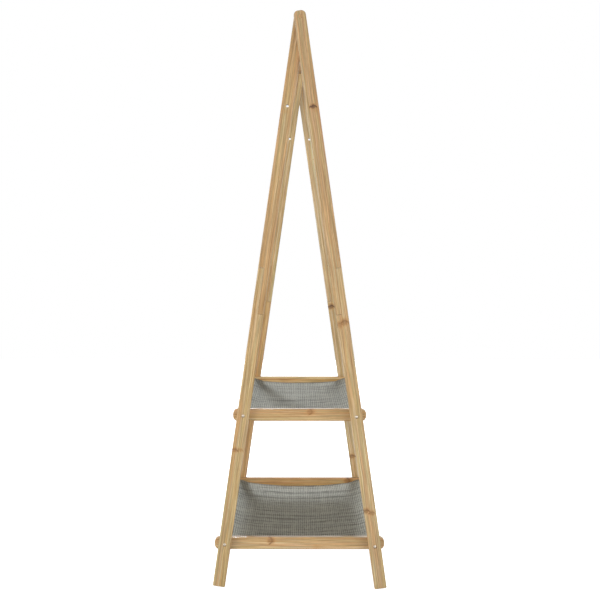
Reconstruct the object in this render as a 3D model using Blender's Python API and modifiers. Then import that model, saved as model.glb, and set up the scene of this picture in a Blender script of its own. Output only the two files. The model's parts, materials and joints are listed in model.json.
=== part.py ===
"""Bamboo A-frame ladder shelf: two A-shaped end frames, a hanging rail and two woven slings on rods.

Metres, +Z up. X runs across the A, Y along the rail, Z up from the floor. The origin is the bottom centre
of the whole object. "Near" is the -Y end frame and "far" the +Y one, and the two mirror each other.
"""

import math

import bmesh
import bpy
from mathutils import Matrix, Vector

# Overall size
HEIGHT = 1.500
LENGTH = 0.880  # from the outer face of the near frame to the outer face of the far one

# Bars of the two A-frames
BAR_WIDTH = 0.0318
BAR_THICKNESS = 0.018
BAR_EDGE = 0.0016  # radius of the eased long edges
END_CORNER = 0.0125  # of the rounded ends
FOOT_CORNER = 0.0020
LEAN = math.radians(8.083)  # each leg's angle from the vertical

# Layers of an end frame, counted inward from its outer face
RIGHT_LEG_LAYER = 0
LEFT_LEG_LAYER = 1
CROSSBAR_LAYER = 2

# The lap that joins the upper and the lower half of each leg
LAP_TOP = 0.832
LAP_BOTTOM = 0.712
LAP_SCREW_INSET = 0.030  # from each end of the lap to its nearer screw

# Shelves: height of the rods, and how far the crossbars run past them
SHELF_HEIGHTS = {"upper": 0.4463, "lower": 0.1104}
SLING_SAG = {"upper": 0.0146, "lower": 0.0205}  # from the top of the cloth over a rod
CROSSBAR_OVERHANG = 0.0273
ROD_RADIUS = 0.0095
RAIL_RADIUS = 0.0135
SPACER_RADIUS = 0.0120
SPARE_HOLE_HEIGHT = 1.2542
SPARE_HOLE_RADIUS = 0.0039
PLAIN_LEG = (-1, 1)  # the near right leg has no spare hole

# Woven slings
CLOTH = 0.0016
SLEEVE_DEPTH = 0.028  # from the rod's axis to the seam that closes its sleeve, at the same height
HEM_WIDTH = 0.010  # the ply beyond that seam
SLING_INSET = 0.004  # from a crossbar to the end of the cloth

# Fasteners
BOLT_RADIUS = 0.0025
HEAD_RADIUS = 0.0040
HEAD_RIM = 0.0010
HEAD_HEIGHT = 0.0024
SOCKET_RADIUS = 0.0015
SOCKET_DEPTH = 0.0016
COUNTERBORE_RADIUS = 0.0046
COUNTERBORE_DEPTH = 0.0028
PLUG_THICKNESS = 0.0030
PLUG_COUNTERBORE = 0.0070
INSERT_RADIUS = 0.0050
INSERT_LENGTH = 0.0150
LAP_THREAD = 0.0105  # how far a lap screw goes into the outer tongue
LAP_COUNTERBORE = 0.0040

GAP = 0.0003  # left between pieces that touch
BORE_EXTRA = 0.0010  # depth of a blind bore behind its insert
OVERSHOOT = 0.002  # how far a cutter stands out of the surface that it enters
ARC_STEPS = 10
ROUND_SIDES = 32
BOLT_SIDES = 16
DOME_STEPS = 4
CLOTH_STEPS = 16
SLEEVE_STEPS = 16
HEM_STEPS = 4
MERGE = 0.00001

END_FLAT = BAR_WIDTH / 2 - END_CORNER  # half the straight stretch of a rounded end
PIVOT_Z = HEIGHT - END_CORNER - END_FLAT * (math.cos(LEAN) + math.sin(LEAN))
LAYER_PITCH = BAR_THICKNESS + GAP
ENDS = {"near": -1, "far": 1}
SIDES = {"left": -1, "right": 1}

BAMBOO = ("bamboo", (0.56, 0.39, 0.21, 1.0), 0.50, 0.0)
BAMBOO_DARK = ("bamboo_crossbar", (0.53, 0.34, 0.17, 1.0), 0.50, 0.0)
CLOTH_GREY = ("woven_cloth", (0.31, 0.30, 0.27, 1.0), 0.90, 0.0)
STEEL = ("zinc_steel", (0.78, 0.77, 0.74, 1.0), 0.30, 1.0)
BRASS = ("insert_brass", (0.62, 0.50, 0.26, 1.0), 0.35, 1.0)


def clear_scene():
    for obj in list(bpy.data.objects):
        bpy.data.objects.remove(obj, do_unlink=True)


def new_collection(name):
    collection = bpy.data.collections.new(name)
    bpy.context.scene.collection.children.link(collection)
    return collection


def material(spec):
    """The Principled material that a (name, colour, roughness, metallic) tuple describes."""
    name, colour, roughness, metallic = spec
    found = bpy.data.materials.get(name)
    if found:
        return found
    made = bpy.data.materials.new(name)
    made.use_nodes = True
    shader = made.node_tree.nodes["Principled BSDF"]
    shader.inputs["Base Color"].default_value = colour
    shader.inputs["Roughness"].default_value = roughness
    shader.inputs["Metallic"].default_value = metallic
    made.diffuse_color = colour
    return made


def add_object(name, mesh, spec=None):
    """A mesh object among the parts, or among the cutters when it has no material."""
    obj = bpy.data.objects.new(name, mesh)
    if spec:
        mesh.materials.append(material(spec))
        mesh.shade_smooth()
        mesh.set_sharp_from_angle(angle=math.radians(35))
        parts.objects.link(obj)
    else:
        obj.hide_render = True
        obj.display_type = "WIRE"
        cutters.objects.link(obj)
    return obj


def arc(centre, radius, start, end, steps):
    """Points on an arc from one angle to another, in degrees."""
    angles = [math.radians(start + (end - start) * i / steps) for i in range(steps + 1)]
    return [(centre[0] + radius * math.cos(a), centre[1] + radius * math.sin(a)) for a in angles]


def extruded(name, loops, thickness, edge, spec):
    """A flat solid: closed loops in the local XY plane, half the thickness to each side of it."""
    curve = bpy.data.curves.new(name, "CURVE")
    curve.dimensions = "2D"
    curve.fill_mode = "BOTH"
    curve.extrude = thickness / 2 - edge
    curve.bevel_depth = edge
    curve.bevel_resolution = 2
    curve.offset = -edge
    for loop in loops:
        spline = curve.splines.new("POLY")
        spline.points.add(len(loop) - 1)
        for point, (x, y) in zip(spline.points, loop):
            point.co = (x, y, 0.0, 1.0)
        spline.use_cyclic_u = True
    outline = bpy.data.objects.new(name + "_outline", curve)
    bpy.context.scene.collection.objects.link(outline)
    evaluated = outline.evaluated_get(bpy.context.evaluated_depsgraph_get())
    mesh = bpy.data.meshes.new_from_object(evaluated)
    bpy.data.objects.remove(outline, do_unlink=True)
    bm = bmesh.new()
    bm.from_mesh(mesh)
    bmesh.ops.remove_doubles(bm, verts=bm.verts, dist=MERGE)
    bmesh.ops.recalc_face_normals(bm, faces=bm.faces)
    bm.to_mesh(mesh)
    bm.free()
    mesh.materials.clear()
    return add_object(name, mesh, spec)


def cylinder(name, radius, length, sides, spec=None):
    """A cylinder whose axis runs from the local origin down to -Z."""
    mesh = bpy.data.meshes.new(name)
    bm = bmesh.new()
    bmesh.ops.create_cone(
        bm, cap_ends=True, segments=sides, radius1=radius, radius2=radius, depth=length,
        matrix=Matrix.Translation((0, 0, -length / 2)),
    )
    bm.to_mesh(mesh)
    bm.free()
    return add_object(name, mesh, spec)


def aim(obj, point, outward):
    """Puts the local origin at a point, with local +Z along the outward direction."""
    obj.location = point
    obj.rotation_euler = Vector(outward).to_track_quat("Z", "Y").to_euler()


def cut(piece, cutter):
    modifier = piece.modifiers.new("cut_" + cutter.name, "BOOLEAN")
    modifier.operation = "DIFFERENCE"
    modifier.solver = "EXACT"
    modifier.object = cutter


def drill(piece, mouth, outward, radius, depth):
    """A round hole from its mouth, a point on the surface, to a depth behind it."""
    count = len(piece.modifiers)
    cutter = cylinder(f"{piece.name}_hole_{count}", radius, depth + OVERSHOOT, BOLT_SIDES)
    outward = Vector(outward)
    aim(cutter, Vector(mouth) + outward * OVERSHOOT, outward)
    cut(piece, cutter)


def layer_y(end, layer):
    """Y of the outer face of a layer of an end frame."""
    return end * (LENGTH / 2 - layer * LAYER_PITCH)


def middle_y(end, layer):
    """Y of the middle of a layer."""
    return layer_y(end, layer) - end * BAR_THICKNESS / 2


def leg_x(z):
    """Distance from the middle plane to a leg's centreline at a height."""
    return (PIVOT_Z - z) * math.tan(LEAN)


def leg_distance(z):
    """Distance along a leg's centreline from the pivot down to a height."""
    return (PIVOT_Z - z) / math.cos(LEAN)


def foot_distance():
    """Distance from the pivot to the square-cut foot, so that its rounded inner corner is at z = 0."""
    inner = BAR_WIDTH / 2 - FOOT_CORNER
    return (PIVOT_Z - FOOT_CORNER - inner * math.sin(LEAN)) / math.cos(LEAN) + FOOT_CORNER


def leg_layer(side):
    return RIGHT_LEG_LAYER if side > 0 else LEFT_LEG_LAYER


def rounded_end(reach):
    """Outline of a bar's rounded end, with its flat tip at that distance along local Y."""
    tip = reach - END_CORNER
    right = arc((END_FLAT, tip), END_CORNER, 0, 90, ARC_STEPS)
    return right + [(-x, y) for x, y in reversed(right)]


def upper_leg_outline():
    """Rounded top about the pivot, down to the lap's lower end."""
    half, bottom = BAR_WIDTH / 2, leg_distance(LAP_BOTTOM)
    return rounded_end(half) + [(-half, -bottom), (half, -bottom)]


def lower_leg_outline():
    """Square-cut foot with eased corners, up to the lap's upper end."""
    half, corner = BAR_WIDTH / 2, FOOT_CORNER
    top, foot = leg_distance(LAP_TOP) + GAP, foot_distance()
    outline = [(half, -top), (-half, -top)]
    outline += arc((corner - half, corner - foot), corner, 180, 270, 4)
    return outline + arc((half - corner, corner - foot), corner, 270, 360, 4)


def make_leg(end_name, side_name, outline, half_name):
    end, side = ENDS[end_name], SIDES[side_name]
    name = f"leg_{end_name}_{side_name}_{half_name}"
    leg = extruded(name, [outline], BAR_THICKNESS, BAR_EDGE, BAMBOO)
    leg.location = (0, middle_y(end, leg_layer(side)), PIVOT_Z)
    leg.rotation_euler = (math.radians(90), -side * LEAN, 0)
    return leg


def cut_lap(leg, outward, top, bottom):
    """Takes half the leg's width away between two heights along its local Y, on local +X or -X."""
    width = BAR_WIDTH / 2 + OVERSHOOT + GAP / 2
    mesh = bpy.data.meshes.new(leg.name + "_lap")
    bm = bmesh.new()
    middle = Matrix.Translation((outward * (width / 2 - GAP / 2), (top + bottom) / 2, 0))
    size = Matrix.Diagonal((width, top - bottom, BAR_THICKNESS + 2 * OVERSHOOT, 1))
    bmesh.ops.create_cube(bm, size=1, matrix=middle @ size)
    bm.to_mesh(mesh)
    bm.free()
    cutter = add_object(leg.name + "_lap", mesh)
    cutter.location = leg.location
    cutter.rotation_euler = leg.rotation_euler
    cut(leg, cutter)


def lap_screw_points(end, side):
    """The two screw positions on a lap, by name, on the leg's centreline."""
    y = middle_y(end, leg_layer(side))
    down = Vector((side * math.sin(LEAN), 0, -math.cos(LEAN)))
    pivot = Vector((0, y, PIVOT_Z))
    first = leg_distance(LAP_TOP) + LAP_SCREW_INSET
    last = leg_distance(LAP_BOTTOM) - LAP_SCREW_INSET
    return {"upper": pivot + down * first, "lower": pivot + down * last}


def inward_normal(side):
    """Across a leg's width, pointing to the inside of the A."""
    return Vector((-side * math.cos(LEAN), 0, -math.sin(LEAN)))


def make_upper_leg(end_name, side_name):
    end, side = ENDS[end_name], SIDES[side_name]
    leg = make_leg(end_name, side_name, upper_leg_outline(), "upper")
    cut_lap(leg, side, -leg_distance(LAP_TOP), -leg_distance(LAP_BOTTOM) - OVERSHOOT)
    y = layer_y(end, leg_layer(side))
    outward = (0, end, 0)
    drill(leg, (0, y, PIVOT_Z), outward, BOLT_RADIUS + GAP, BAR_THICKNESS + OVERSHOOT)
    if side > 0:
        drill(leg, (0, y, PIVOT_Z), outward, INSERT_RADIUS + GAP, PLUG_COUNTERBORE)
    if (end, side) != PLAIN_LEG:
        spare = (side * leg_x(SPARE_HOLE_HEIGHT), y, SPARE_HOLE_HEIGHT)
        drill(leg, spare, outward, SPARE_HOLE_RADIUS, BAR_THICKNESS + OVERSHOOT)
    inward = inward_normal(side)
    for point in lap_screw_points(end, side).values():
        mouth = point + inward * BAR_WIDTH / 2
        drill(leg, mouth, inward, BOLT_RADIUS + GAP, BAR_WIDTH / 2 + OVERSHOOT)
        drill(leg, mouth, inward, COUNTERBORE_RADIUS, LAP_COUNTERBORE)


def make_lower_leg(end_name, side_name):
    end, side = ENDS[end_name], SIDES[side_name]
    leg = make_leg(end_name, side_name, lower_leg_outline(), "lower")
    cut_lap(leg, -side, -leg_distance(LAP_TOP) + OVERSHOOT, -leg_distance(LAP_BOTTOM) - GAP)
    y = layer_y(end, leg_layer(side))
    outward = (0, end, 0)
    for z in SHELF_HEIGHTS.values():
        mouth = (side * leg_x(z), y, z)
        drill(leg, mouth, outward, BOLT_RADIUS + GAP, BAR_THICKNESS + OVERSHOOT)
        drill(leg, mouth, outward, COUNTERBORE_RADIUS, COUNTERBORE_DEPTH)
    inward = inward_normal(side)
    for point in lap_screw_points(end, side).values():
        drill(leg, point - inward * GAP / 2, inward, BOLT_RADIUS + GAP, LAP_THREAD + BORE_EXTRA)


def make_crossbar(end_name, shelf):
    end, z = ENDS[end_name], SHELF_HEIGHTS[shelf]
    right = [(y, -x) for x, y in rounded_end(leg_x(z) + CROSSBAR_OVERHANG)]
    outline = right + [(-x, -y) for x, y in right]
    bar = extruded(f"crossbar_{end_name}_{shelf}", [outline], BAR_THICKNESS, BAR_EDGE, BAMBOO_DARK)
    bar.location = (0, middle_y(end, CROSSBAR_LAYER), z)
    bar.rotation_euler = (math.radians(90), 0, 0)
    for side in SIDES.values():
        mouth = (side * leg_x(z), layer_y(end, CROSSBAR_LAYER), z)
        drill(bar, mouth, (0, end, 0), BOLT_RADIUS + GAP, BAR_THICKNESS + OVERSHOOT)


def make_spacer(end_name, shelf):
    """Fills the layer behind the right leg, where the left leg's layer would otherwise leave a gap."""
    end, z = ENDS[end_name], SHELF_HEIGHTS[shelf]
    spacer = cylinder(f"spacer_{end_name}_{shelf}", SPACER_RADIUS, BAR_THICKNESS, ROUND_SIDES, BAMBOO)
    outer = (leg_x(z), layer_y(end, LEFT_LEG_LAYER), z)
    aim(spacer, outer, (0, end, 0))
    drill(spacer, outer, (0, end, 0), BOLT_RADIUS + GAP, BAR_THICKNESS + OVERSHOOT)


def make_round_bar(name, insert_name, x, z, radius, first_layer):
    """A rod from one end frame to the other, with a threaded insert in each end."""
    length = 2 * layer_y(1, first_layer)
    bar = cylinder(name, radius, length, ROUND_SIDES, BAMBOO)
    aim(bar, (x, length / 2, z), (0, 1, 0))
    for end_name, end in ENDS.items():
        mouth, outward = (x, end * length / 2, z), (0, end, 0)
        drill(bar, mouth, outward, INSERT_RADIUS + GAP, INSERT_LENGTH + BORE_EXTRA)
        make_insert(f"{insert_name}_{end_name}", mouth, outward)


def make_insert(name, mouth, outward):
    """A threaded insert, sunk a little behind the mouth of its bore."""
    insert = cylinder(name, INSERT_RADIUS, INSERT_LENGTH, BOLT_SIDES, BRASS)
    seat = Vector(mouth) - Vector(outward) * GAP
    aim(insert, seat, outward)
    drill(insert, seat, outward, BOLT_RADIUS + GAP, INSERT_LENGTH + OVERSHOOT)


def make_bolt(name, shank):
    """A low domed bolt with a hexagon socket; local +Z is out of the head, and the origin under it."""
    bulge = HEAD_HEIGHT - HEAD_RIM
    dome = [
        (HEAD_RADIUS * math.sin(a), HEAD_RIM + bulge * math.cos(a))
        for a in [math.pi / 2 * i / DOME_STEPS for i in range(DOME_STEPS + 1)]
    ]
    tip = [(HEAD_RADIUS, 0), (BOLT_RADIUS, 0), (BOLT_RADIUS, -shank + GAP), (BOLT_RADIUS - GAP, -shank)]
    profile = dome + tip + [(0, -shank)]
    mesh = bpy.data.meshes.new(name)
    mesh.from_pydata([(x, 0, z) for x, z in profile], [(i, i + 1) for i in range(len(profile) - 1)], [])
    bolt = add_object(name, mesh, STEEL)
    screw = bolt.modifiers.new("turn", "SCREW")
    screw.steps = BOLT_SIDES
    screw.render_steps = BOLT_SIDES
    screw.use_merge_vertices = True
    screw.merge_threshold = MERGE
    screw.use_normal_calculate = True
    socket = cylinder(name + "_socket", SOCKET_RADIUS, SOCKET_DEPTH + OVERSHOOT, 6)
    socket.parent = bolt
    socket.location = (0, 0, HEAD_HEIGHT + OVERSHOOT)
    cut(bolt, socket)
    return bolt


def make_shelf_bolt(end_name, side_name, shelf):
    """Through a leg, its spacer if it has one, and the crossbar, into the insert of the rod."""
    end, side, z = ENDS[end_name], SIDES[side_name], SHELF_HEIGHTS[shelf]
    layers = CROSSBAR_LAYER + 1 - leg_layer(side)
    shank = layers * LAYER_PITCH - COUNTERBORE_DEPTH + INSERT_LENGTH - BORE_EXTRA
    bolt = make_bolt(f"shelf_bolt_{end_name}_{shelf}_{side_name}", shank)
    seat = layer_y(end, leg_layer(side)) - end * (COUNTERBORE_DEPTH - GAP)
    aim(bolt, (side * leg_x(z), seat, z), (0, end, 0))


def make_apex_fixing(end_name):
    """A sunk bolt through both legs into the rail, and the bamboo plug that covers its head."""
    end = ENDS[end_name]
    face = layer_y(end, RIGHT_LEG_LAYER)
    shank = CROSSBAR_LAYER * LAYER_PITCH - PLUG_COUNTERBORE + INSERT_LENGTH - BORE_EXTRA
    bolt = make_bolt(f"apex_bolt_{end_name}", shank)
    aim(bolt, (0, face - end * (PLUG_COUNTERBORE - GAP), PIVOT_Z), (0, end, 0))
    plug = cylinder(f"apex_plug_{end_name}", INSERT_RADIUS, PLUG_THICKNESS, ROUND_SIDES, BAMBOO)
    aim(plug, (0, face, PIVOT_Z), (0, end, 0))


def make_lap_screws(end_name, side_name):
    """Two screws from the inner edge of a leg, through the inner tongue of its lap into the outer one."""
    inward = inward_normal(SIDES[side_name])
    shank = BAR_WIDTH / 2 - LAP_COUNTERBORE + LAP_THREAD
    for place, point in lap_screw_points(ENDS[end_name], SIDES[side_name]).items():
        screw = make_bolt(f"lap_screw_{end_name}_{side_name}_{place}", shank)
        aim(screw, point + inward * (BAR_WIDTH / 2 - LAP_COUNTERBORE + GAP), inward)


def tangent_angles(centre, radius, point):
    """Angles at which lines from a point to the left of a circle touch it, from above and from below."""
    dx, dz = point[0] - centre[0], point[1] - centre[1]
    towards = math.degrees(math.atan2(dz, dx)) % 360
    spread = math.degrees(math.acos(radius / math.hypot(dx, dz)))
    return towards - spread, towards + spread - 360


def sling_loops(shelf):
    """Section of a sling: the sagging sheet, and at each side a sleeve around the rod, sewn to a point."""
    rod_x = leg_x(SHELF_HEIGHTS[shelf])
    centre, inner = (rod_x, 0), ROD_RADIUS + GAP
    outer = inner + CLOTH
    seam_x = rod_x - SLEEVE_DEPTH
    hem_x = seam_x - HEM_WIDTH
    lowest = outer - SLING_SAG[shelf]

    def face(x, plies):
        """A point on the top of the sheet, or that many plies below it; the seam is level with the rod."""
        return x, lowest + (CLOTH - lowest) * (x / seam_x) ** 2 - plies * CLOTH

    steps = range(CLOTH_STEPS + 1)
    top = [face(seam_x * i / CLOTH_STEPS, 0) for i in steps]
    upper_touch = tangent_angles(centre, outer, face(seam_x, 0))[0]
    lower_touch = tangent_angles(centre, outer, face(seam_x, 2))[1]
    wrap = arc(centre, outer, upper_touch, lower_touch, SLEEVE_STEPS)
    hem = [face(seam_x - HEM_WIDTH * i / HEM_STEPS, 2) for i in range(HEM_STEPS + 1)]
    under = [face(hem_x * (1 - i / CLOTH_STEPS), 1) for i in steps]
    right = top + wrap + hem + under
    left = [(-x, z) for x, z in reversed(right[1:-1])]
    hole = arc(centre, inner, *tangent_angles(centre, inner, face(seam_x, 1)), SLEEVE_STEPS)
    hole.append(face(seam_x, 1))
    return [right + left, hole, [(-x, z) for x, z in hole]]


def make_sling(shelf):
    length = 2 * layer_y(1, CROSSBAR_LAYER + 1) - 2 * SLING_INSET
    sling = extruded(f"sling_{shelf}", sling_loops(shelf), length, 0.0, CLOTH_GREY)
    sling.location = (0, 0, SHELF_HEIGHTS[shelf])
    sling.rotation_euler = (math.radians(90), 0, 0)


def make_end_frame(end_name):
    for side_name in SIDES:
        make_upper_leg(end_name, side_name)
        make_lower_leg(end_name, side_name)
        make_lap_screws(end_name, side_name)
    for shelf in SHELF_HEIGHTS:
        make_crossbar(end_name, shelf)
        make_spacer(end_name, shelf)
        for side_name in SIDES:
            make_shelf_bolt(end_name, side_name, shelf)
    make_apex_fixing(end_name)


def make_shelf(shelf):
    z = SHELF_HEIGHTS[shelf]
    for side_name, side in SIDES.items():
        rod, insert = f"shelf_rod_{shelf}_{side_name}", f"rod_insert_{shelf}_{side_name}"
        make_round_bar(rod, insert, side * leg_x(z), z, ROD_RADIUS, CROSSBAR_LAYER + 1)
    make_sling(shelf)


clear_scene()
parts = new_collection("ladder_shelf")
cutters = new_collection("cutters")
for frame_end in ENDS:
    make_end_frame(frame_end)
for shelf_name in SHELF_HEIGHTS:
    make_shelf(shelf_name)
make_round_bar("hanging_rail", "rail_insert", 0, PIVOT_Z, RAIL_RADIUS, CROSSBAR_LAYER)
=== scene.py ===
"""Looks of the bamboo ladder shelf: laminated bamboo bars, woven slings with sewn sleeves, steel bolts."""

import json
import math
import random

import bmesh
import bpy
import numpy as np
from mathutils import Euler, Matrix, Vector

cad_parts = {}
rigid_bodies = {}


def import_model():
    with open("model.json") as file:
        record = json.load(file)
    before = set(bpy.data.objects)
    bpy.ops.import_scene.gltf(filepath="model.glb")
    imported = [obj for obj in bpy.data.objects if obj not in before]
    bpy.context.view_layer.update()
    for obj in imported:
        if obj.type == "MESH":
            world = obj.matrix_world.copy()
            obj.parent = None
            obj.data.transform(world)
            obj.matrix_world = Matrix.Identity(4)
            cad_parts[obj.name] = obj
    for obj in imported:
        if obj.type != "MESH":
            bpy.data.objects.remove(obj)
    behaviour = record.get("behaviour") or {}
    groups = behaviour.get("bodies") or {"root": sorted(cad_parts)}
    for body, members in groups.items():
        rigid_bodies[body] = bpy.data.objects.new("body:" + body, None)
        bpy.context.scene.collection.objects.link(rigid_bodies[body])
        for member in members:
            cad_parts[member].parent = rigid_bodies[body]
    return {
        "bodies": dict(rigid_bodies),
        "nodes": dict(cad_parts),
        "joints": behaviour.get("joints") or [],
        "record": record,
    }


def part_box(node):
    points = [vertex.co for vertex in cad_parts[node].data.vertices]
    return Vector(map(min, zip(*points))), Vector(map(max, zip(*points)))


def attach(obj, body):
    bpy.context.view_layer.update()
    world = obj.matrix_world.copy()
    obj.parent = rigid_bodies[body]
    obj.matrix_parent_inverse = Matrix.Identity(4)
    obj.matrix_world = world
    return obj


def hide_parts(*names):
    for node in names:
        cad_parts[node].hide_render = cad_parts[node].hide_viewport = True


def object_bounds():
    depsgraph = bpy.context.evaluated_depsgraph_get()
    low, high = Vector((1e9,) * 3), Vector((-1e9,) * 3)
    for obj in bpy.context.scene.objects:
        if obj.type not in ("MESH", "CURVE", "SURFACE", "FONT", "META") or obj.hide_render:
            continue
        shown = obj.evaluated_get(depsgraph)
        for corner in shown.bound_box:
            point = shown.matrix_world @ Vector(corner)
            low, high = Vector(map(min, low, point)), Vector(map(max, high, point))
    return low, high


# Camera, in metres, and its lens
CAMERA_DISTANCE = 2.92  # from the object's near side
CAMERA_X = -0.004
CAMERA_Z = 0.863
CAMERA_LENS = 67.7
CAMERA_SHIFT = (0.00295, -0.0733)
CAMERA_ROLL = -0.0009

# Studio light: azimuth from +X, elevation, distance, size (across, along), power, roll
AMBIENT = 0.105
FLOOR_REFLECTION = 0.30
FLOOR_GLOW = 0.05
FLOOR_GLOW_SEEN = 0.95  # to the camera, so that the floor looks as white as the backdrop
LIT_POINT = (0.0, 0.0, 0.35)
WARM = (1.0, 0.95, 0.865)
COOL = (0.93, 1.0, 1.10)
SOFTBOXES = {
    "rear_strip": (91, 51.5, 8.0, (0.62, 2.8), 375, 13, COOL),
    "front_left": (215, 13, 3.2, (3.0, 1.6), 61, 0, WARM),
    "front_right": (305, 14, 3.2, (2.6, 1.6), 34, 0, WARM),
}

# Cloth of the slings
CLOTH = 0.0014  # thickness
CLOTH_GAP = 0.0003
SLEEVE_DEPTH = 0.028
PLY_WIDTH = 0.010
PLY_OFFSET = CLOTH * 0.575  # of each sewn ply above or below the level of the rod's axis
END_HEM_WIDTH = 0.011
END_HEM_HALF = CLOTH * 0.95  # half its thickness
RIPPLE = 0.0006
FINE_RIPPLE = 0.00040
RIPPLE_FADE = 0.05  # how far from the plies the ripples and creases reach their full height
CREASES = {  # places along the shelf, heights and half widths
    "upper": ((0.2125, 0.0015, 0.015), (-0.080, 0.0018, 0.016)),
    "lower": (
        (0.2735, 0.0028, 0.018), (0.1990, 0.0030, 0.018), (0.132, 0.0014, 0.016), (-0.030, 0.0008, 0.014),
    ),
}
SHEET_ROWS = 128  # along the shelf, besides those at the creases
FACE_STEPS = 36  # across half the sagging sheet
SHOULDER_STEPS = 8  # across a sleeve's straight ply
WRAP_STEPS = 24  # round the rod
FOLD_SHADE_LINES = ((0.258, 0.30), (0.183, 0.32), (0.118, 0.14), (-0.091, 0.20))  # painted shade along the creases: place along, depth
FOLD_SHADE_SHIFT = 0.010  # the mean of the drift that a fold's painted shade line has along the shelf
RIB = 0.0056
WEFT = 0.0030
CLOTH_TINT = (0.515, 0.505, 0.428)
CLOTH_SHADE = 0.34  # of the tint: the deepest colour, painted shade in the gaps of the weave and along the creases, mixed with the cloth's darker yarn
STITCH = 0.0042
STITCH_SPAN = (0.12, 0.88)  # the part of its pitch that a stitch covers
# Each ring of a stitch: its place along the stitch, and its width and lift in radii of the thread
STITCH_RINGS = ((0.0, 0.35, 0.0), (0.22, 1.0, 0.75), (0.78, 1.0, 0.75), (1.0, 0.35, 0.0))
THREAD_RADIUS = 0.00035
THREAD_SIDES = 6
THREAD_DARK = (0.30, 0.29, 0.26, 1.0)
THREAD_LIGHT = (0.46, 0.45, 0.41, 1.0)

# Metal
STEEL = (0.70, 0.635, 0.545, 1.0)
BRASS = (0.62, 0.48, 0.24, 1.0)

# Bamboo
STRIP_WIDTH = 0.0059
LAYER_DEPTH = 0.0090
NODE_SPACING = 0.29
END_GRAIN_FROM = 0.45  # how squarely a face cuts the fibres before its end grain shows
DARK_FLECK = (0.28, 0.145, 0.058, 1.0)
GLUE = (0.27, 0.15, 0.06, 1.0)
RUDDY = (0.560, 0.300, 0.122, 1.0)
COAT = 0.7
COAT_ROUGHNESS = 0.15
PLAIN = (1.0, 1.0, 1.0)

# Colour of a bar beside the common one: partly the bar's own tone, partly painted light, with several bars
# (the far ones most) lightened where they lie in shade and the hanging rail darkened as painted shade on
# its underside
TONES_AND_PAINTED_LIGHT = {
    "crossbar_near_upper": (1.07, 1.06, 1.04),
    "crossbar_near_lower": (1.12, 1.13, 1.14),
    "crossbar_far_upper": (1.42, 1.42, 1.38),
    "crossbar_far_lower": (1.08, 1.03, 0.96),
    "leg_near_right_upper": (0.96, 0.96, 0.97),
    "leg_near_right_lower": (1.02, 1.07, 1.12),
    "leg_near_left_lower": (1.01, 1.05, 1.07),
    "leg_far_right_upper": (1.15, 1.30, 1.54),
    "leg_far_right_lower": (1.17, 1.32, 1.52),
    "leg_far_left_upper": (1.05, 1.14, 1.24),
    "leg_far_left_lower": (1.06, 0.99, 0.94),
    "hanging_rail": (0.80, 0.66, 0.54),
}
# Knots and knuckles, and a painted contact shadow at the hanging rail's far end: along from the pivot or
# the bar's middle, across, half width, half height, strength
MARKS_AND_PAINTED_SHADOW = {
    "leg_near_right_upper": (
        (-0.2392, 0.0042, 0.0098, 0.0085, 1.0), (-0.2480, 0.0110, 0.0080, 0.0090, 0.45),
    ),
    "leg_near_right_lower": (
        (-0.803, 0.0070, 0.0110, 0.0120, 0.80), (-0.808, -0.0065, 0.0100, 0.0110, 0.70),
        (-1.295, -0.006, 0.0095, 0.0095, 0.84), (-1.302, 0.0075, 0.0085, 0.0085, 0.76),
    ),
    "leg_far_right_lower": ((-0.800, -0.003, 0.0130, 0.0130, 0.95), (-1.307, -0.004, 0.0140, 0.0100, 0.84)),
    "leg_near_left_lower": ((-1.142, -0.006, 0.0110, 0.0085, 0.78), (-1.140, 0.008, 0.0090, 0.0060, 0.60)),
    "leg_near_left_upper": ((-0.2500, -0.003, 0.0120, 0.0055, 0.30),),
    "crossbar_near_upper": ((0.026, -0.006, 0.0095, 0.0130, 0.76),),
    "crossbar_near_lower": ((-0.078, -0.004, 0.0100, 0.0125, 0.80), (0.041, 0.012, 0.0070, 0.0120, 0.40)),
    # Painted contact shadow where the rail's far end meets the far legs
    "hanging_rail": ((0.375, 0.0, 0.0300, 0.0500, 0.90),),
    "crossbar_far_lower": ((0.159, -0.004, 0.0120, 0.0180, 0.84),),
}


# ---------------------------------------------------------------- shader nodes


def node(tree, kind, inputs=None, **settings):
    """A shader node with its settings, and its inputs set to values or linked to sockets."""
    made = tree.nodes.new("ShaderNode" + kind)
    for name, value in settings.items():
        setattr(made, name, value)
    for name, value in (inputs or {}).items():
        if isinstance(value, bpy.types.NodeSocket):
            tree.links.new(value, made.inputs[name])
        else:
            made.inputs[name].default_value = value
    return made


def maths(tree, operation, *values):
    made = node(tree, "Math", dict(enumerate(values)), operation=operation)
    return made.outputs[0]


def vector_maths(tree, operation, *values):
    made = node(tree, "VectorMath", dict(enumerate(values)), operation=operation)
    return made.outputs["Value" if operation in ("LENGTH", "DOT_PRODUCT") else "Vector"]


def noise(tree, vector, scale, detail=2.0, roughness=0.5):
    """Noise whose scale is given per axis, in cycles a metre."""
    stretched = vector_maths(tree, "MULTIPLY", vector, scale)
    wanted = {"Vector": stretched, "Scale": 1.0, "Detail": detail, "Roughness": roughness}
    return node(tree, "TexNoise", wanted).outputs["Fac"]


def remap(tree, value, low, high, to_low=0.0, to_high=1.0, smooth=True):
    wanted = {"Value": value, "From Min": low, "From Max": high, "To Min": to_low, "To Max": to_high}
    kind = "SMOOTHSTEP" if smooth else "LINEAR"
    return node(tree, "MapRange", wanted, interpolation_type=kind).outputs["Result"]


def random_value(tree, x, y, z):
    cell = node(tree, "CombineXYZ", {"X": x, "Y": y, "Z": z}).outputs[0]
    return node(tree, "TexWhiteNoise", {"Vector": cell}, noise_dimensions="3D").outputs["Value"]


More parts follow.
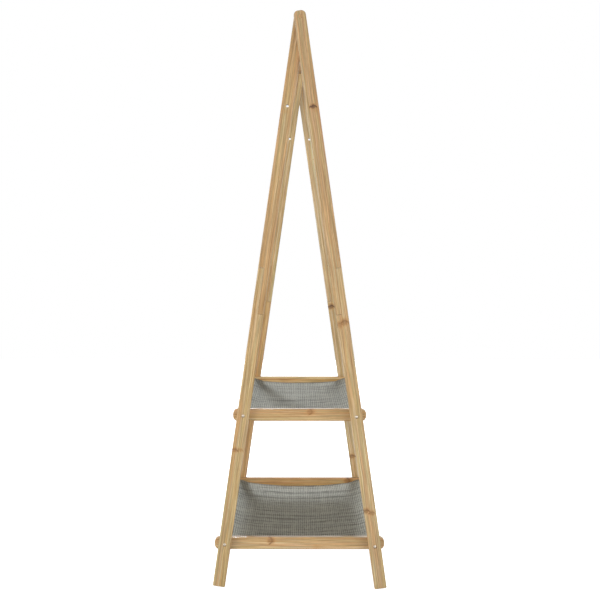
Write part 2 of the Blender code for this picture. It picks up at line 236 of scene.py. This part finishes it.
def mix_colour(tree, factor, a, b, blend="MIX"):
    made = node(tree, "Mix", {"Factor": factor}, data_type="RGBA", blend_type=blend, clamp_factor=True)
    for index, value in ((6, a), (7, b)):
        if isinstance(value, bpy.types.NodeSocket):
            tree.links.new(value, made.inputs[index])
        else:
            made.inputs[index].default_value = value
    return made.outputs[2]


def ramp(tree, factor, stops):
    made = node(tree, "ValToRGB", {"Fac": factor})
    elements = made.color_ramp.elements
    while len(elements) < len(stops):
        elements.new(0.5)
    for element, (position, colour) in zip(elements, stops):
        element.position = position
        element.color = (*colour, 1.0)
    return made.outputs["Color"]


def new_material(name):
    material = bpy.data.materials.new(name)
    material.use_nodes = True
    tree = material.node_tree
    return material, tree, tree.nodes["Principled BSDF"]


# ---------------------------------------------------------------- bamboo


def knuckle_and_painted_shadow_mark(tree, place, along, across, half_width, half_height, strength):
    """A knuckle of the bamboo: a dark curved line in a paler patch, at a place along and across the bar;
    the same mark also paints the shadow where the hanging rail meets the far legs.
    """
    offset = vector_maths(tree, "SUBTRACT", place, (across, 0.0, along))
    scaled = vector_maths(tree, "MULTIPLY", offset, (1 / half_width, 0.0, 1 / half_height))
    parts = node(tree, "SeparateXYZ", {"Vector": scaled}).outputs
    bow = maths(tree, "MULTIPLY", maths(tree, "MULTIPLY", parts["X"], parts["X"]), 0.6)
    height = maths(tree, "ABSOLUTE", maths(tree, "ADD", parts["Z"], maths(tree, "SUBTRACT", bow, 0.2)))
    inside = remap(tree, maths(tree, "ABSOLUTE", parts["X"]), 1.35, 0.80)
    line = maths(tree, "MULTIPLY", remap(tree, height, 0.48, 0.12), inside)
    patch = remap(tree, vector_maths(tree, "LENGTH", scaled), 1.40, 0.40, 0.0, 0.88)
    return maths(tree, "MULTIPLY", maths(tree, "MAXIMUM", line, patch), strength)


def skewed(tree, along):
    """A slow sideways drift of the fibres along the bar, so that they don't run dead straight."""
    wander = noise(tree, node(tree, "CombineXYZ", {"Z": along}).outputs[0], (1.0, 1.0, 7.0), 2.0)
    return node(tree, "CombineXYZ", {"X": maths(tree, "MULTIPLY", wander, 0.009)}).outputs[0]


def bamboo_group():
    """Laminated bamboo in the bar's own metres: X across, Y through, Z along the fibres."""
    group = bpy.data.node_groups.new("laminated_bamboo", "ShaderNodeTree")
    for name, kind in (("Place", "Vector"), ("Seed", "Float"), ("End", "Float"), ("Mark", "Float")):
        group.interface.new_socket(name, in_out="INPUT", socket_type="NodeSocket" + kind)
    for name, kind in (("Color", "Color"), ("Height", "Float"), ("Roughness", "Float")):
        group.interface.new_socket(name, in_out="OUTPUT", socket_type="NodeSocket" + kind)
    given = group.nodes.new("NodeGroupInput").outputs
    result = group.nodes.new("NodeGroupOutput").inputs
    seed = given["Seed"]
    shift = node(group, "CombineXYZ", {"X": seed, "Y": maths(group, "MULTIPLY", seed, 0.37), "Z": seed})
    place = vector_maths(group, "ADD", given["Place"], shift.outputs[0])
    axes = node(group, "SeparateXYZ", {"Vector": place}).outputs

    strip_place = maths(group, "DIVIDE", axes["X"], STRIP_WIDTH)
    layer_place = maths(group, "DIVIDE", axes["Y"], LAYER_DEPTH)
    strip = maths(group, "FLOOR", strip_place)
    layer = maths(group, "FLOOR", layer_place)
    phase = maths(group, "MULTIPLY", random_value(group, strip, layer, 7.5), 5.0)
    turn = maths(group, "ADD", maths(group, "DIVIDE", axes["Z"], NODE_SPACING), phase)
    own = maths(group, "MULTIPLY", random_value(group, strip, layer, 0.5), 0.65)
    length_tone = random_value(group, maths(group, "FLOOR", turn), maths(group, "ADD", strip, 0.5), layer)
    tone = maths(group, "ADD", own, maths(group, "MULTIPLY", length_tone, 0.35))
    skew = vector_maths(group, "ADD", place, skewed(group, axes["Z"]))
    streaks = noise(group, skew, (430.0, 430.0, 7.0), 3.0, 0.65)
    streaks = remap(group, streaks, 0.33, 0.67, smooth=False)
    fibres = noise(group, place, (1100.0, 1100.0, 14.0), 3.0, 0.6)
    flecks = noise(group, place, (2600.0, 2600.0, 55.0), 1.0, 0.5)

    warm = maths(group, "MULTIPLY", tone, 0.36)
    warm = maths(group, "ADD", warm, maths(group, "MULTIPLY", streaks, 0.58))
    colour = ramp(group, warm, (
        (0.08, (0.415, 0.225, 0.088)),
        (0.28, (0.490, 0.300, 0.128)),
        (0.45, (0.548, 0.372, 0.182)),
        (0.60, (0.588, 0.425, 0.222)),
        (0.88, (0.690, 0.550, 0.345)),
    ))
    ruddy = remap(group, noise(group, skew, (210.0, 210.0, 2.2), 2.0), 0.50, 0.66, 0.0, 0.55)
    colour = mix_colour(group, ruddy, colour, RUDDY)
    hue = ramp(group, noise(group, skew, (190.0, 190.0, 3.2), 2.0), (
        (0.38, (0.97, 1.01, 0.94)),
        (0.50, (1.00, 1.00, 1.00)),
        (0.62, (1.04, 0.97, 0.98)),
    ))
    colour = mix_colour(group, 1.0, colour, hue, "MULTIPLY")
    fibre_tone = remap(group, fibres, 0.25, 0.75, 0.70, 1.26, smooth=False)
    colour = mix_colour(group, 1.0, colour, fibre_tone, "MULTIPLY")
    threads = noise(group, skew, (620.0, 620.0, 10.0), 2.0, 0.6)
    thread_tone = remap(group, threads, 0.34, 0.66, 0.76, 1.23, smooth=False)
    colour = mix_colour(group, 1.0, colour, thread_tone, "MULTIPLY")
    fleck = remap(group, flecks, 0.62, 0.74, 0.0, 0.50)
    colour = mix_colour(group, fleck, colour, DARK_FLECK)

    within = maths(group, "FRACT", turn)
    off_middle = maths(group, "ABSOLUTE", maths(group, "SUBTRACT", within, 0.5))
    from_node = maths(group, "MULTIPLY", off_middle, NODE_SPACING)
    ragged = maths(group, "MULTIPLY", noise(group, place, (420.0, 420.0, 60.0), 2.0), 0.006)
    band = remap(group, maths(group, "ADD", from_node, ragged), 0.0070, 0.0020)
    how_dark = maths(group, "POWER", random_value(group, maths(group, "FLOOR", turn), strip, 3.5), 2.2)
    own_mark = maths(group, "MULTIPLY", maths(group, "MULTIPLY", band, how_dark), 0.55)
    # The given marks also carry the painted contact shadow on the hanging rail
    mark = maths(group, "MAXIMUM", own_mark, given["Mark"])
    rough_mark = maths(group, "MULTIPLY", mark, remap(group, fibres, 0.2, 0.7, 0.70, 1.0))
    mark_colour = ramp(group, mark, (
        (0.25, (0.560, 0.300, 0.095)),
        (0.62, (0.370, 0.150, 0.038)),
        (0.95, (0.075, 0.022, 0.005)),
    ))
    colour = mix_colour(group, rough_mark, colour, mark_colour)

    edge = maths(group, "ABSOLUTE", maths(group, "SUBTRACT", maths(group, "FRACT", strip_place), 0.5))
    glue_line = remap(group, edge, 0.478, 0.497, 0.0, 0.28)
    colour = mix_colour(group, glue_line, colour, GLUE)

    pores = node(group, "TexVoronoi", {
        "Vector": vector_maths(group, "MULTIPLY", place, (1500.0, 1500.0, 60.0)), "Scale": 1.0,
    }).outputs["Distance"]
    end_colour = ramp(group, pores, ((0.05, (0.20, 0.105, 0.045)), (0.55, (0.42, 0.265, 0.125))))
    end_amount = remap(group, given["End"], END_GRAIN_FROM, 0.97, 0.0, 0.62)
    colour = mix_colour(group, end_amount, colour, end_colour)
    group.links.new(colour, result["Color"])

    height = maths(group, "SUBTRACT", fibres, maths(group, "MULTIPLY", glue_line, 1.2))
    height = maths(group, "SUBTRACT", height, maths(group, "MULTIPLY", fleck, 0.6))
    group.links.new(height, result["Height"])
    group.links.new(remap(group, streaks, 0.0, 1.0, 0.50, 0.38, smooth=False), result["Roughness"])
    return group


def bamboo(name, origin, rotation, seed, marks, tint):
    """Lacquered bamboo for one bar, whose fibres run along local Z at that origin and rotation."""
    material, tree, shader = new_material(name)
    shader.inputs["Coat Weight"].default_value = COAT
    shader.inputs["Coat Roughness"].default_value = COAT_ROUGHNESS
    shader.inputs["Specular IOR Level"].default_value = 0.3
    where = node(tree, "TexCoord").outputs["Object"]
    stood = {"Vector": where, "Location": origin, "Rotation": rotation}
    mapping = node(tree, "Mapping", stood, vector_type="TEXTURE")
    place = mapping.outputs["Vector"]
    along = (rotation_matrix(rotation) @ Vector((0, 0, 1)))[:]
    facing = vector_maths(tree, "DOT_PRODUCT", node(tree, "NewGeometry").outputs["Normal"], along)
    end = maths(tree, "ABSOLUTE", facing)
    wobble = noise(tree, place, (260.0, 260.0, 120.0), 2.0)
    bent = vector_maths(tree, "MULTIPLY_ADD", wobble, (0.006, 0.0, -0.007), place)
    mark = 0.0
    for spot in marks:
        found = knuckle_and_painted_shadow_mark(tree, bent, *spot)
        mark = found if mark == 0.0 else maths(tree, "MAXIMUM", mark, found)
    made = node(tree, "Group", node_tree=bpy.data.node_groups["laminated_bamboo"])
    for key, value in (("Place", place), ("End", end), ("Mark", mark)):
        if isinstance(value, bpy.types.NodeSocket):
            tree.links.new(value, made.inputs[key])
    made.inputs["Seed"].default_value = seed
    # The tint multiplies in each bar's own tone together with painted light: far bars lightened where shade
    # falls, the rail darkened as painted shade
    colour = mix_colour(tree, 1.0, made.outputs["Color"], (*tint, 1.0), "MULTIPLY")
    tree.links.new(colour, shader.inputs["Base Color"])
    tree.links.new(made.outputs["Roughness"], shader.inputs["Roughness"])
    bump = node(tree, "Bump", {"Height": made.outputs["Height"], "Strength": 0.35, "Distance": 0.00012})
    tree.links.new(bump.outputs["Normal"], shader.inputs["Normal"])
    return material


def rotation_matrix(rotation):
    return Euler(rotation, "XYZ").to_matrix()


# ---------------------------------------------------------------- other materials


def metal(name, colour, roughness, scratch):
    material, tree, shader = new_material(name)
    where = node(tree, "TexCoord").outputs["Object"]
    grain = noise(tree, where, (900.0, 900.0, 900.0), 3.0)
    tint = remap(tree, grain, 0.3, 0.7, 0.90, 1.0, smooth=False)
    tree.links.new(mix_colour(tree, 1.0, colour, tint, "MULTIPLY"), shader.inputs["Base Color"])
    shader.inputs["Metallic"].default_value = 1.0
    fine = noise(tree, where, (4000.0, 4000.0, 4000.0), 1.0)
    rough = remap(tree, fine, 0.3, 0.7, roughness - scratch, roughness + scratch)
    tree.links.new(rough, shader.inputs["Roughness"])
    return material


def woven_cloth(name):
    """Ribbed grey weave in the sheet's own metres: U across the shelf, V along it."""
    material, tree, shader = new_material(name)
    uv = node(tree, "UVMap", uv_map="cloth").outputs["UV"]
    axes = node(tree, "SeparateXYZ", {"Vector": uv}).outputs
    metres = node(tree, "CombineXYZ", {"X": axes["X"], "Y": axes["Y"]}).outputs[0]
    drift = maths(tree, "MULTIPLY", noise(tree, metres, (26.0, 14.0, 1.0), 3.0), 0.0045)
    u = maths(tree, "DIVIDE", maths(tree, "ADD", axes["X"], drift), RIB)
    v = maths(tree, "DIVIDE", maths(tree, "ADD", axes["Y"], drift), WEFT)
    rib_wave = maths(tree, "ABSOLUTE", maths(tree, "SINE", maths(tree, "MULTIPLY", u, math.pi)))
    weft_wave = maths(tree, "ABSOLUTE", maths(tree, "SINE", maths(tree, "MULTIPLY", v, math.pi)))
    ribs = remap(tree, rib_wave, 0.0, 0.98)
    wefts = remap(tree, weft_wave, 0.0, 0.7)
    rib_tone = random_value(tree, maths(tree, "FLOOR", u), 0.5, 0.5)
    weft_tone = random_value(tree, 0.5, maths(tree, "FLOOR", v), 0.5)
    beads = noise(tree, metres, (170.0, 48.0, 1.0), 2.0, 0.6)
    beads = remap(tree, beads, 0.35, 0.62, 0.30, 1.0, smooth=False)
    bands = remap(tree, noise(tree, metres, (10.0, 62.0, 1.0), 3.0, 0.6), 0.45, 0.66)
    knots = noise(tree, metres, (320.0, 60.0, 1.0), 2.0, 0.6)
    yarn = noise(tree, metres, (900.0, 260.0, 1.0), 2.0, 0.6)
    dashes = remap(tree, noise(tree, metres, (38.0, 9.0, 1.0), 3.0), 0.38, 0.62, 0.20, 1.0)
    lines = []
    for pitch, shift in ((0.066, 0.0), (0.041, 0.37)):
        place = maths(tree, "ADD", maths(tree, "DIVIDE", axes["Y"], pitch), shift)
        wanted = {"W": place, "Randomness": 0.8, "Scale": 1.0}
        slub = node(tree, "TexVoronoi", wanted, voronoi_dimensions="1D")
        lines.append(remap(tree, slub.outputs["Distance"], 0.0065 / pitch, 0.0015 / pitch))
    line = maths(tree, "MULTIPLY", maths(tree, "MAXIMUM", *lines), dashes)
    wander = maths(tree, "MULTIPLY", noise(tree, metres, (11.0, 0.0, 1.0), 2.0), 0.020)
    drifted = maths(tree, "ADD", axes["Y"], wander)
    # Painted shade: darker lines along the creases of the sheet
    fold = 0.0
    for place, depth in FOLD_SHADE_LINES:
        off = maths(tree, "ABSOLUTE", maths(tree, "SUBTRACT", drifted, place + FOLD_SHADE_SHIFT))
        fold = maths(tree, "ADD", fold, maths(tree, "MULTIPLY", remap(tree, off, 0.017, 0.006), depth))
    # The darkened gaps between ribs and wefts are painted shade in the grooves of the weave; the rib and
    # weft tones, knots and yarn are the cloth's own colour
    shares = (
        (maths(tree, "MULTIPLY", maths(tree, "SUBTRACT", 1.0, ribs), beads), 1.05), (fold, 1.0),
        (maths(tree, "SUBTRACT", 1.0, wefts), 0.12), (rib_tone, 0.16), (weft_tone, 0.08),
        (line, 0.52), (bands, 0.37),
        (remap(tree, knots, 0.3, 0.7, 1.0, 0.0, smooth=False), 0.16),
        (remap(tree, yarn, 0.3, 0.7, 1.0, 0.0, smooth=False), 0.14),
    )
    dark = -0.19
    for value, share in shares:
        dark = maths(tree, "ADD", dark, maths(tree, "MULTIPLY", value, share))
    light = (*CLOTH_TINT, 1.0)
    deep = (*(c * CLOTH_SHADE for c in CLOTH_TINT), 1.0)
    tree.links.new(mix_colour(tree, dark, light, deep), shader.inputs["Base Color"])
    shader.inputs["Sheen Weight"].default_value = 0.12
    shader.inputs["Sheen Roughness"].default_value = 0.5
    shader.inputs["Specular IOR Level"].default_value = 0.25
    tree.links.new(remap(tree, yarn, 0.3, 0.7, 0.95, 0.80, smooth=False), shader.inputs["Roughness"])
    relief = maths(tree, "ADD", ribs, maths(tree, "MULTIPLY", wefts, 0.35))
    relief = maths(tree, "SUBTRACT", relief, maths(tree, "MULTIPLY", line, 0.6))
    relief = maths(tree, "ADD", relief, maths(tree, "MULTIPLY", yarn, 0.4))
    bump = node(tree, "Bump", {"Height": relief, "Strength": 0.6, "Distance": 0.0004})
    tree.links.new(bump.outputs["Normal"], shader.inputs["Normal"])
    return material


def thread(name):
    material, tree, shader = new_material(name)
    where = node(tree, "TexCoord").outputs["Object"]
    twist = noise(tree, where, (2500.0, 2500.0, 2500.0), 1.0)
    twist = remap(tree, twist, 0.35, 0.65)
    colour = mix_colour(tree, twist, THREAD_DARK, THREAD_LIGHT)
    tree.links.new(colour, shader.inputs["Base Color"])
    shader.inputs["Roughness"].default_value = 0.7
    return material


# ---------------------------------------------------------------- the frame's pieces


def wear(obj, material):
    obj.data.materials.clear()
    obj.data.materials.append(material)


def centre(name):
    low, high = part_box(name)
    return (low + high) / 2


def dress_frame(frame):
    bamboo_group()
    pivot = centre("hanging_rail")
    rod = centre("shelf_rod_lower_right")
    lean = math.atan2(rod.x, pivot.z - rod.z)
    steel = metal("zinc_steel", STEEL, 0.34, 0.06)
    brass = metal("insert_brass", BRASS, 0.32, 0.06)
    draws = random.Random(12)
    for name in sorted(frame["nodes"]):
        obj = frame["nodes"][name]
        middle = centre(name)
        seed = round(draws.uniform(0.5, 9.5), 3)
        looks = (seed, MARKS_AND_PAINTED_SHADOW.get(name, ()), TONES_AND_PAINTED_LIGHT.get(name, PLAIN))
        if name.startswith("leg"):
            side = 1 if "right" in name else -1
            wear(obj, bamboo(name, (0, middle.y, pivot.z), (0, -side * lean, 0), *looks))
        elif name.startswith("crossbar"):
            wear(obj, bamboo(name, middle, (0, math.pi / 2, 0), *looks))
        elif name.startswith("apex_plug"):
            wear(obj, bamboo(name, middle, (0, -lean, 0), *looks))
        elif name.startswith(("shelf_rod", "hanging_rail", "spacer")):
            wear(obj, bamboo(name, middle, (-math.pi / 2, 0, 0), *looks))
        elif "insert" in name:
            wear(obj, brass)
        elif not name.startswith("sling"):
            wear(obj, steel)


# ---------------------------------------------------------------- slings


def arc(cx, cz, radius, start, end, steps):
    angles = np.radians(np.linspace(start, end, steps + 1))
    return np.column_stack((cx + radius * np.cos(angles), cz + radius * np.sin(angles)))


def half_profile(rod_x, rod_z, radius, sag):
    """Right half of a sling's middle surface: the sagging sheet, then round the rod and back to the seam.

    The sleeve's two plies run straight from the rod to the seam, which lies level with the rod's axis.
    """
    seam_x = rod_x - SLEEVE_DEPTH
    lowest = rod_z + radius - sag
    bend = (rod_z + PLY_OFFSET - lowest) / seam_x**2

    def face(x, drop=0.0):
        x = np.asarray(x, float)
        return np.column_stack((x, lowest + bend * x * x - drop))

    seam, tip = face([seam_x])[0], face([seam_x], 2 * PLY_OFFSET)[0]
    upper_touch = touch_angles(rod_x, rod_z, radius, seam)[0]
    lower_touch = touch_angles(rod_x, rod_z, radius, tip)[1]
    wrap = arc(rod_x, rod_z, radius, upper_touch, lower_touch, WRAP_STEPS)
    shoulder = seam + (wrap[0] - seam) * np.linspace(0, 1, SHOULDER_STEPS + 1)[1:-1, None]
    flap = wrap[-1] + (tip - wrap[-1]) * np.linspace(0, 1, SHOULDER_STEPS + 1)[1:, None]
    hem = face(np.linspace(seam_x, seam_x - PLY_WIDTH, 4)[1:], 2 * PLY_OFFSET)
    return np.vstack((face(np.linspace(0, seam_x, FACE_STEPS + 1)), shoulder, wrap, flap, hem))


def touch_angles(x, z, radius, point):
    """Angles at which lines from a point to the left of a circle touch it, from above and from below."""
    dx, dz = point[0] - x, point[1] - z
    towards = math.degrees(math.atan2(dz, dx)) % 360
    spread = math.degrees(math.acos(radius / math.hypot(dx, dz)))
    return towards - spread, towards + spread - 360


def full_profile(*sizes):
    right = half_profile(*sizes)
    left = right[:0:-1] * (-1, 1)
    return np.vstack((left, right))


def smooth_step(value):
    value = np.clip(value, 0, 1)
    return value * value * (3 - 2 * value)


class Sling:
    """One sling's sizes, read from its rods and its CAD solid."""

    def __init__(self, shelf, frame):
        low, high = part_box(f"shelf_rod_{shelf}_right")
        self.shelf = shelf
        self.rod_x, self.rod_z = (low.x + high.x) / 2, (low.z + high.z) / 2
        self.radius = (high.z - low.z) / 2 + CLOTH_GAP + CLOTH / 2
        low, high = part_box(f"sling_{shelf}")
        self.start, self.end = low.y, high.y
        solid = frame["nodes"][f"sling_{shelf}"].data.vertices
        middle_top = max(v.co.z for v in solid if abs(v.co.x) < 0.004)
        self.sag = self.rod_z + self.radius - (middle_top - CLOTH / 2)
        self.creases = CREASES[shelf]
        spread = np.arange(-2.0, 2.01, 0.4)
        extra = [crease[0] + spread * crease[2] for crease in self.creases]
        even = np.linspace(self.start, self.end, SHEET_ROWS)
        self.places = np.unique(np.round(np.concatenate((even, *extra)), 5))

    def points(self, y):
        """The middle surface's profile at a place along the shelf."""
        line = full_profile(self.rod_x, self.rod_z, self.radius, self.sag)
        free = smooth_step((self.rod_x - SLEEVE_DEPTH - PLY_WIDTH - np.abs(line[:, 0])) / RIPPLE_FADE)
        waves = np.sin(y * 61 + line[:, 0] * 17) + 0.7 * np.sin(y * 37 - line[:, 0] * 41 + 1.3)
        fine = np.sin(y * 171 - line[:, 0] * 13) * np.sin(y * 23 + line[:, 0] * 7)
        fine += np.sin(y * 113 + line[:, 0] * 9 + 0.6)
        line[:, 1] += (RIPPLE * waves + FINE_RIPPLE * fine) * free
        for place, height, width in self.creases:
            off = (y - place + 0.004 * np.sin(line[:, 0] * 31 + place * 90)) / width
            line[:, 1] += height * np.exp(-off * off) * free
        return line


def grid_mesh(name, rows, uv_rows):
    """A sheet from rows of points, with UVs in metres."""
    count, width = len(rows), len(rows[0])
    mesh = bpy.data.meshes.new(name)
    faces = [
        (r * width + c, r * width + c + 1, (r + 1) * width + c + 1, (r + 1) * width + c)
        for r in range(count - 1) for c in range(width - 1)
    ]
    mesh.from_pydata([tuple(p) for row in rows for p in row], [], faces)
    layer = mesh.uv_layers.new(name="cloth")
    flat = [tuple(p) for row in uv_rows for p in row]
    for loop in mesh.loops:
        layer.data[loop.index].uv = flat[loop.vertex_index]
    mesh.shade_smooth()
    obj = bpy.data.objects.new(name, mesh)
    bpy.context.scene.collection.objects.link(obj)
    return obj


def arc_length(line):
    return np.concatenate(([0.0], np.cumsum(np.linalg.norm(np.diff(line, axis=0), axis=1))))


def make_cloth(sling, material):
    rows, uv_rows = [], []
    for y in sling.places:
        line = sling.points(y)
        u = arc_length(line)
        u -= u[-1] / 2
        rows.append(np.column_stack((line[:, 0], np.full(len(line), y), line[:, 1])))
        uv_rows.append(np.column_stack((u, np.full(len(line), y))))
    cloth = grid_mesh(f"sling_cloth_{sling.shelf}", rows, uv_rows)
    cloth.data.materials.append(material)
    solidify = cloth.modifiers.new("thickness", "SOLIDIFY")
    solidify.thickness = CLOTH
    solidify.offset = 0
    width = float(uv_rows[0][-1][0] - uv_rows[0][0][0])
    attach(cloth, "root")
    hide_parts(f"sling_{sling.shelf}")
    return cloth, width


def normals_of(line):
    tangent = np.gradient(line, axis=0)
    tangent /= np.linalg.norm(tangent, axis=1)[:, None]
    return np.column_stack((-tangent[:, 1], tangent[:, 0]))


def make_end_hem(sling, end_name, material):
    """The folded edge at one end: a rounded band round the sheet's edge, following its profile."""
    end = sling.start if end_name == "near" else sling.end
    inward = 1 if end_name == "near" else -1
    line = sling.points(end)
    sideways = normals_of(line)
    u = arc_length(line)
    fold = [(END_HEM_WIDTH, -0.62), (END_HEM_WIDTH, 0.62)]
    fold += [(END_HEM_WIDTH * 0.9, 0.86), (END_HEM_WIDTH * 0.5, 0.98)]
    fold += [(0.0012, 1.0), (0.0002, 0.75), (-0.0002, 0.0), (0.0002, -0.75), (0.0012, -1.0)]
    fold += [(END_HEM_WIDTH * 0.5, -0.98), (END_HEM_WIDTH * 0.9, -0.86)]
    fold.append(fold[0])
    rows, uv_rows = [], []
    for i, (point, side) in enumerate(zip(line, sideways)):
        ring = []
        for d, h in fold:
            x, z = point + side * h * END_HEM_HALF
            ring.append((x, end + inward * d, z))
        rows.append(ring)
        uv_rows.append([(u[i], end + inward * d) for d, h in fold])
    hem = grid_mesh(f"sling_hem_{sling.shelf}_{end_name}", rows, uv_rows)
    bm = bmesh.new()
    bm.from_mesh(hem.data)
    bmesh.ops.remove_doubles(bm, verts=bm.verts, dist=1e-6)
    bmesh.ops.holes_fill(bm, edges=[e for e in bm.edges if e.is_boundary])
    bmesh.ops.recalc_face_normals(bm, faces=bm.faces)
    bm.to_mesh(hem.data)
    bm.free()
    hem.data.shade_smooth()
    hem.data.materials.append(material)
    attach(hem, "root")
    return hem


def add_stitch(bm, a, b, up):
    """One stitch: a short rounded thread from a to b, bowed a little along up."""
    along = (b - a).normalized()
    side = along.cross(up).normalized()
    rings = []
    for t, swell, lift in STITCH_RINGS:
        middle = a.lerp(b, t) + up * lift * THREAD_RADIUS
        ring = []
        for k in range(THREAD_SIDES):
            turn = math.tau * k / THREAD_SIDES
            offset = (side * math.cos(turn) + up * math.sin(turn)) * THREAD_RADIUS * swell
            ring.append(bm.verts.new(middle + offset))
        rings.append(ring)
    for first, second in zip(rings, rings[1:]):
        for k in range(THREAD_SIDES):
            after = (k + 1) % THREAD_SIDES
            bm.faces.new((first[k], first[after], second[after], second[k]))
    bm.faces.new(rings[0][::-1])
    bm.faces.new(rings[-1])


def along_path(values, lengths, mark):
    """A vector between those given along a path, at a distance from its start."""
    return Vector([np.interp(mark, lengths, column) for column in np.array(values).T])


def stitch_line(bm, points, ups):
    """Stitches along a path, with a gap between one and the next."""
    lengths = arc_length(np.array(points))
    count = int(lengths[-1] / STITCH)
    for i in range(count):
        marks = [lengths[-1] * (i + t) / count for t in STITCH_SPAN]
        first, last = (along_path(points, lengths, m) for m in marks)
        add_stitch(bm, first, last, along_path(ups, lengths, marks[0]).normalized())


def make_stitching(sling, material):
    """The sleeve seams along both rods, and one row along each end hem, on the upper face."""
    bm = bmesh.new()
    lift = CLOTH / 2 + THREAD_RADIUS * 0.35
    for side in (-1, 1):
        points, ups = [], []
        for y in sling.places[1:-1]:
            line = sling.points(y)
            top = line[upper_face(line)]
            x = side * (sling.rod_x - SLEEVE_DEPTH - PLY_WIDTH * 0.35)
            z = np.interp(x, top[:, 0], top[:, 1])
            points.append((x, y, z + lift))
            ups.append((0, 0, 1))
        stitch_line(bm, points, ups)
    for end, inward in ((sling.start, 1), (sling.end, -1)):
        y = end + inward * (END_HEM_WIDTH - 0.002)
        line = sling.points(end)
        top = line[upper_face(line)]
        points = [(x, y, z + CLOTH * 0.92 + THREAD_RADIUS * 0.3) for x, z in top]
        stitch_line(bm, points, [(0, 0, 1)] * len(points))
    mesh = bpy.data.meshes.new(f"sling_stitching_{sling.shelf}")
    bm.to_mesh(mesh)
    bm.free()
    mesh.shade_smooth()
    stitching = bpy.data.objects.new(mesh.name, mesh)
    bpy.context.scene.collection.objects.link(stitching)
    stitching.data.materials.append(material)
    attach(stitching, "root")
    return stitching


def upper_face(line):
    """Indices of the profile's points on the sagging face, between the rods' tops."""
    middle = len(line) // 2
    reach = FACE_STEPS + SHOULDER_STEPS
    return slice(middle - reach, middle + reach + 1)


def make_sling(shelf, frame, cloth_material, thread_material):
    sling = Sling(shelf, frame)
    cloth, width = make_cloth(sling, cloth_material)
    hems = [make_end_hem(sling, end, cloth_material) for end in ("near", "far")]
    stitching = make_stitching(sling, thread_material)


# ---------------------------------------------------------------- studio


def softbox(name, azimuth, elevation, distance, size, power, roll, colour):
    """A rectangular light aimed at the middle of the shelves, from an azimuth and elevation in degrees."""
    data = bpy.data.lights.new(name, "AREA")
    data.shape = "RECTANGLE"
    data.size, data.size_y = size
    data.energy = power
    data.color = colour
    lamp = bpy.data.objects.new(name, data)
    turn, rise = math.radians(azimuth), math.radians(elevation)
    away = Vector((math.cos(rise) * math.cos(turn), math.cos(rise) * math.sin(turn), math.sin(rise)))
    lamp.location = Vector(LIT_POINT) + away * distance
    aimed = away.to_track_quat("Z", "Y").to_matrix()
    lamp.rotation_euler = (aimed @ Matrix.Rotation(math.radians(roll), 3, "Z")).to_euler()
    bpy.context.scene.collection.objects.link(lamp)


def make_floor():
    mesh = bpy.data.meshes.new("floor")
    bm = bmesh.new()
    bmesh.ops.create_grid(bm, x_segments=1, y_segments=1, size=6)
    bm.to_mesh(mesh)
    bm.free()
    floor = bpy.data.objects.new("floor", mesh)
    bpy.context.scene.collection.objects.link(floor)
    material, tree, shader = new_material("pale_floor")
    shader.inputs["Base Color"].default_value = (0.85, 0.85, 0.85, 1.0)
    shader.inputs["Roughness"].default_value = 0.8
    shader.inputs["Emission Color"].default_value = (1.0, 1.0, 1.0, 1.0)
    seen = node(tree, "LightPath").outputs["Is Camera Ray"]
    glow = remap(tree, seen, 0.0, 1.0, FLOOR_GLOW, FLOOR_GLOW_SEEN, smooth=False)
    tree.links.new(glow, shader.inputs["Emission Strength"])
    mesh.materials.append(material)


def make_world():
    """White to the eye; in reflections, a white backdrop above a grey floor; dim as a light."""
    world = bpy.data.worlds.new("white_studio")
    bpy.context.scene.world = world
    world.use_nodes = True
    tree = world.node_tree
    background = tree.nodes["Background"]
    background.inputs["Color"].default_value = (1.0, 1.0, 1.0, 1.0)
    rays = node(tree, "LightPath").outputs
    direction = node(tree, "TexCoord").outputs["Generated"]
    height = node(tree, "SeparateXYZ", {"Vector": direction}).outputs["Z"]
    backdrop = remap(tree, height, -0.02, 0.10, FLOOR_REFLECTION, 1.0)
    reflected = maths(tree, "MULTIPLY", rays["Is Glossy Ray"], backdrop)
    seen = maths(tree, "MAXIMUM", rays["Is Camera Ray"], reflected)
    tree.links.new(maths(tree, "MAXIMUM", seen, AMBIENT), background.inputs["Strength"])


def make_camera(low):
    data = bpy.data.cameras.new("camera")
    data.lens = CAMERA_LENS
    data.sensor_width = 36
    data.shift_x, data.shift_y = CAMERA_SHIFT
    camera = bpy.data.objects.new("camera", data)
    camera.location = (CAMERA_X, low.y - CAMERA_DISTANCE, CAMERA_Z)
    camera.rotation_euler = (math.pi / 2, CAMERA_ROLL, 0)
    bpy.context.scene.collection.objects.link(camera)
    bpy.context.scene.camera = camera


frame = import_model()
cad_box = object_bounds()
make_camera(cad_box[0])
make_world()
make_floor()
for name, settings in SOFTBOXES.items():
    softbox(name, *settings)
dress_frame(frame)
cloth = woven_cloth("woven_cloth")
stitches = thread("sewing_thread")
for shelf in ("upper", "lower"):
    make_sling(shelf, frame, cloth, stitches)
bpy.context.scene.view_settings.view_transform = "Standard"
